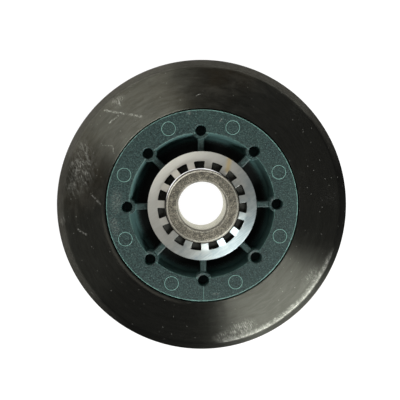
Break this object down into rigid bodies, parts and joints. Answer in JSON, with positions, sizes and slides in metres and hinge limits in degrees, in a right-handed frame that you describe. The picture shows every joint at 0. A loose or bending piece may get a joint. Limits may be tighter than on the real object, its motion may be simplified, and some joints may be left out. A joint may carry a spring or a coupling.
{
  "type": "drum support roller",
  "caption": "Rubber-tyred support roller: ribbed plastic hub on a long sintered sleeve bush, held by toothed steel retainer rings.",
  "frame": {"origin": "centre of the roller, on the bore axis, midway between the two ends of the bush", "axes": "+Z along the bore axis, out of the front face (the side with the ejector rings); +X through one of the ribs"},
  "size_m": [0.0778, 0.0778, 0.0286],
  "materials": {
    "tyre": "black moulded rubber with turned marks, scuffs and talc",
    "hub": "dark teal glass-filled nylon, fine speckle, satin",
    "bush": "oil-soaked sintered iron, mottled, bright worn chamfers",
    "retainer": "satin stamped spring steel",
    "wick": "oil-soaked black felt"
  },
  "bodies": {
    "root": {"tyre": "tyre", "hub": "hub", "bush": "bush", "front_retainer": "retainer", "rear_retainer": "retainer", "front_wick": "wick", "rear_wick": "wick"}
  },
  "joints": []
}
